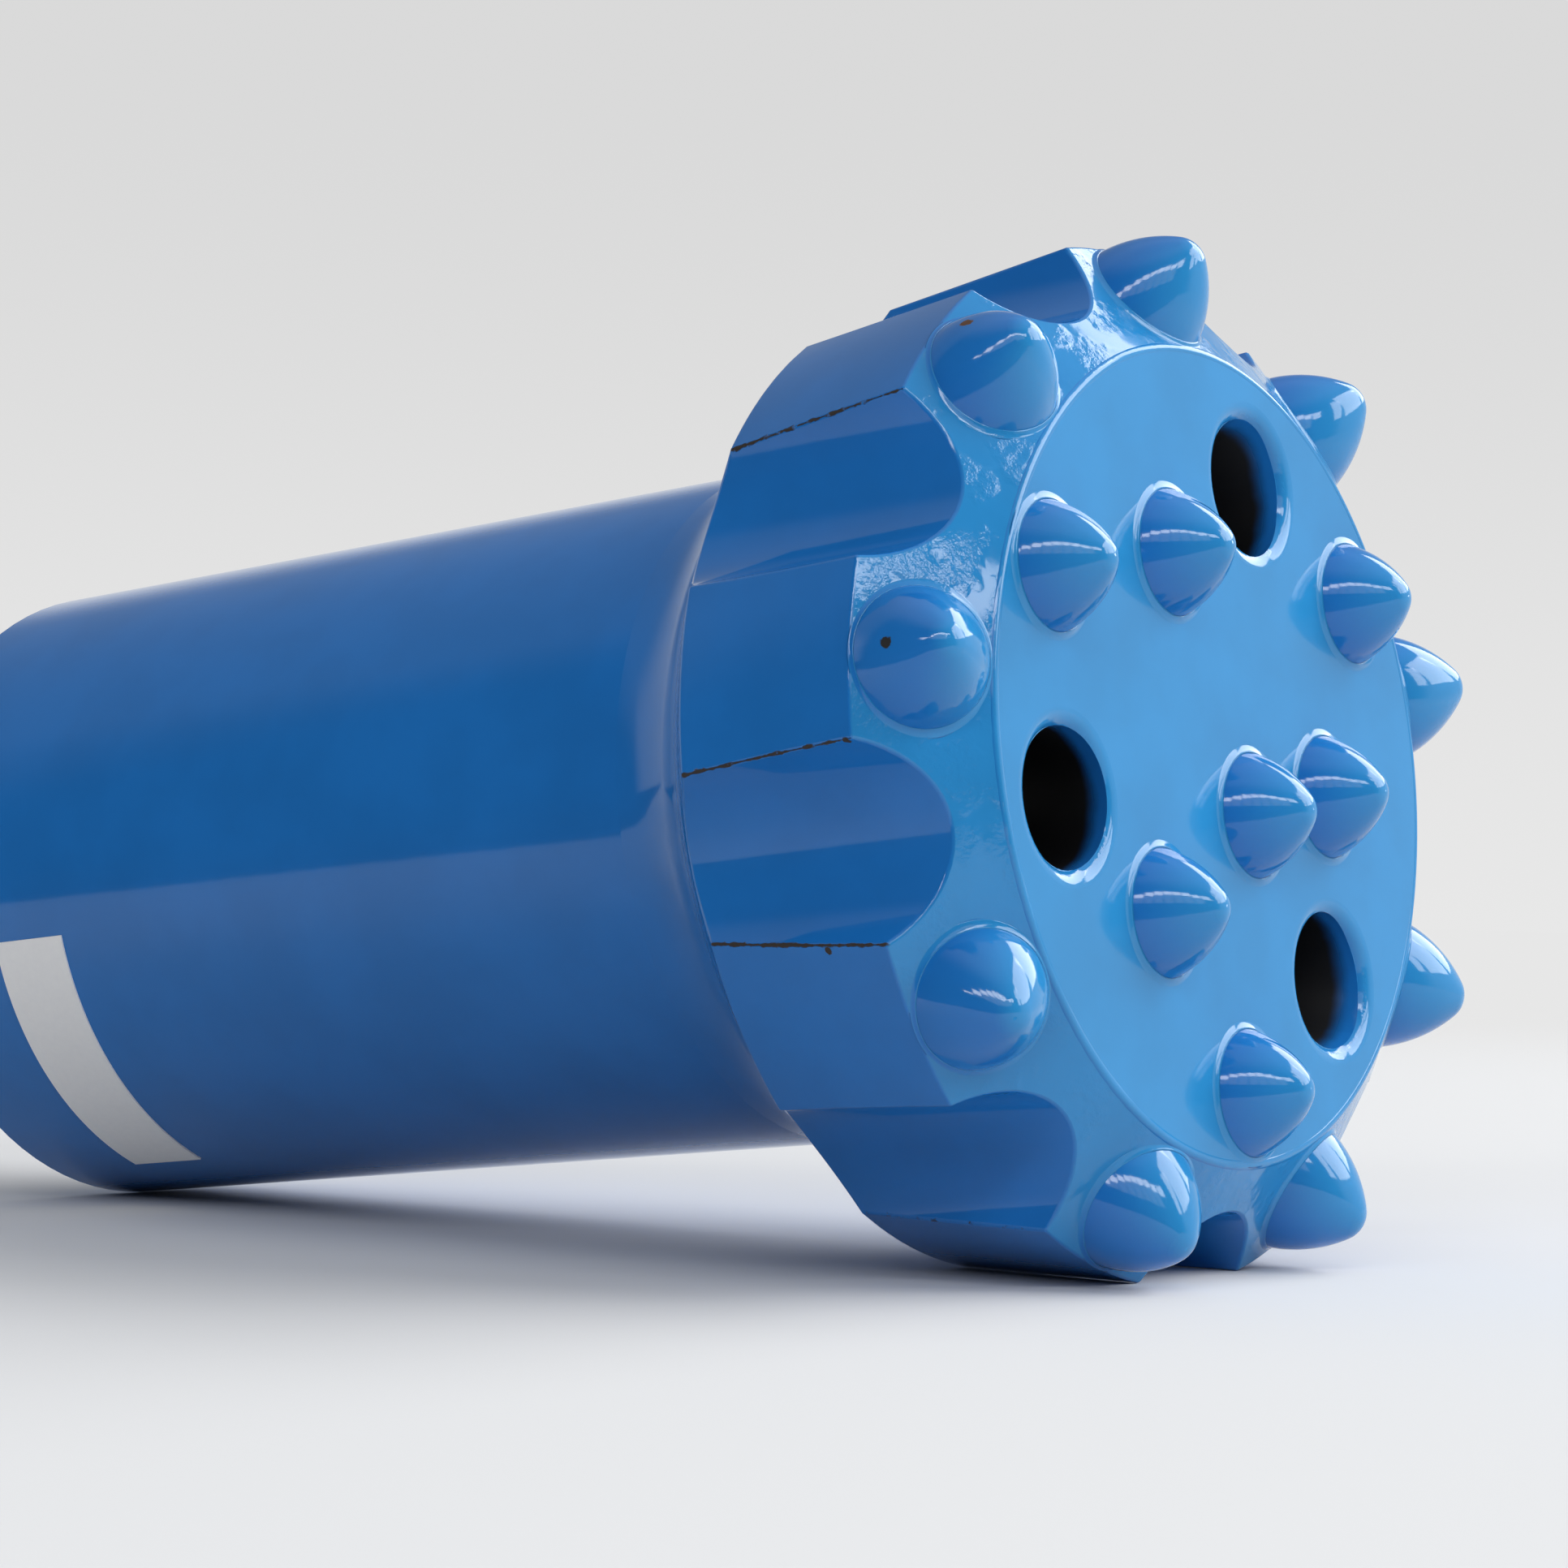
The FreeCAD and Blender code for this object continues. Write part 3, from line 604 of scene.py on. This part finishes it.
def addRoom():
    world = bpy.data.worlds.new("room")
    bpy.context.scene.world = world
    world.use_nodes = True
    tree = world.node_tree
    towards = addNode(tree, "ShaderNodeTexCoord").outputs["Generated"]
    parts = addNode(tree, "ShaderNodeSeparateXYZ", {0: towards}).outputs
    azimuth = calc(tree, "DEGREES", calc(tree, "ARCTAN2", parts[1], parts[0]))
    rise = calc(tree, "DEGREES", calc(tree, "ARCSINE", parts[2]))
    afterStart = ramp(tree, azimuth, room["darkFrom"] - room["darkFromSoft"],
                      room["darkFrom"] + room["darkFromSoft"])
    beforeEnd = ramp(tree, azimuth, room["darkTo"] - room["darkToSoft"],
                     room["darkTo"] + room["darkToSoft"], 1.0, 0.0)
    inFront = calc(tree, "MULTIPLY", afterStart, beforeEnd)
    behind = blend(tree, ramp(tree, rise, *room["wallRise"]), room["backdrop"], room["wall"])
    low = blend(tree, inFront, behind, room["dark"])
    around = blend(tree, ramp(tree, rise, *room["ceilingRise"]), low, room["ceiling"])
    plain = blend(tree, ramp(tree, rise, *room["seenRise"]), room["seenLow"], room["seenHigh"])
    seen = addNode(tree, "ShaderNodeLightPath").outputs["Is Camera Ray"]
    colour = blend(tree, seen, around, plain)
    background = tree.nodes["Background"]
    tree.links.new(colour, background.inputs["Color"])


windows = {
    "middle": (0, 0, 0.05),      # every pane faces this point
    "distance": 2.2,
    "row": {"count": 9, "from": -97.0, "to": -17.0, "middle": -42.0, "top": 41.0, "arch": 0.008,
            "bright": 6.0, "sill": 18.5, "bar": 0.8},
    "rowPower": 9.0,
    "lowPower": 1.2,
    "last": (-16.5, -7.0, 29.0, 37.5, 7.0),      # azimuths, elevations, power
    "side": [(8.0, 18.5, 18.0, 45.0, 5.0), (20.0, 58.0, 18.0, 52.0, 5.0),
             (59.0, 94.0, 18.0, 50.0, 5.0)],
}


def addPane(name, azimuthFrom, azimuthTo, low, high, radiance):
    distance = windows["distance"]
    azimuth = math.radians((azimuthFrom + azimuthTo) / 2)
    rise = math.radians((low + high) / 2)
    towards = Vector((math.cos(rise) * math.cos(azimuth), math.cos(rise) * math.sin(azimuth),
                      math.sin(rise)))
    halfWidth = math.radians((azimuthTo - azimuthFrom) / 2)
    light = bpy.data.lights.new(name, "AREA")
    light.shape = "RECTANGLE"
    light.size = 2 * distance * math.tan(halfWidth) * math.cos(rise)
    light.size_y = 2 * distance * math.tan(math.radians((high - low) / 2))
    light.energy = radiance * math.pi * light.size * light.size_y
    lamp = bpy.data.objects.new(name, light)
    lamp.location = Vector(windows["middle"]) + towards * distance
    lamp.rotation_euler = (-towards).to_track_quat("-Z", "Y").to_euler()
    lamp.visible_camera = False
    bpy.context.collection.objects.link(lamp)


def addWindows():
    row = windows["row"]
    step = (row["to"] - row["from"]) / row["count"]
    for number in range(row["count"]):
        start = row["from"] + number * step
        away = start + step / 2 - row["middle"]
        top = row["top"] - row["arch"] * away ** 2
        split = max(top - row["bright"], row["sill"])
        end = start + step - row["bar"]
        addPane(f"rowWindow{number + 1}", start, end, split, top, windows["rowPower"])
        if split > row["sill"]:
            addPane(f"rowSill{number + 1}", start, end, row["sill"], split, windows["lowPower"])
    addPane("lastWindow", *windows["last"])
    for number, pane in enumerate(windows["side"]):
        addPane(f"sideWindow{number + 1}", *pane)


cameraView = {
    "place": (0.203185, -0.35035, -0.013262),      # both from the middle of the cutting face
    "lookAt": (-0.040645, -0.01520, -0.003432),
    "roll": math.radians(1.14),
    "lens": 96.89,
    "sensor": 36.0,
    "near": 0.01,
}


def addCamera():
    camera = bpy.data.cameras.new("camera")
    camera.lens, camera.sensor_width = cameraView["lens"], cameraView["sensor"]
    camera.clip_start = cameraView["near"]
    viewer = bpy.data.objects.new("camera", camera)
    place, lookAt = Vector(cameraView["place"]), Vector(cameraView["lookAt"])
    viewer.location = faceCentre + place
    turn = (lookAt - place).to_track_quat("-Z", "Y") @ Quaternion((0, 0, 1), cameraView["roll"])
    viewer.rotation_euler = turn.to_euler()
    bpy.context.collection.objects.link(viewer)
    bpy.context.scene.camera = viewer


addTable()
addRoom()
addWindows()
addCamera()
bpy.context.scene.view_settings.view_transform = "Standard"
print("table, room, windows and camera")
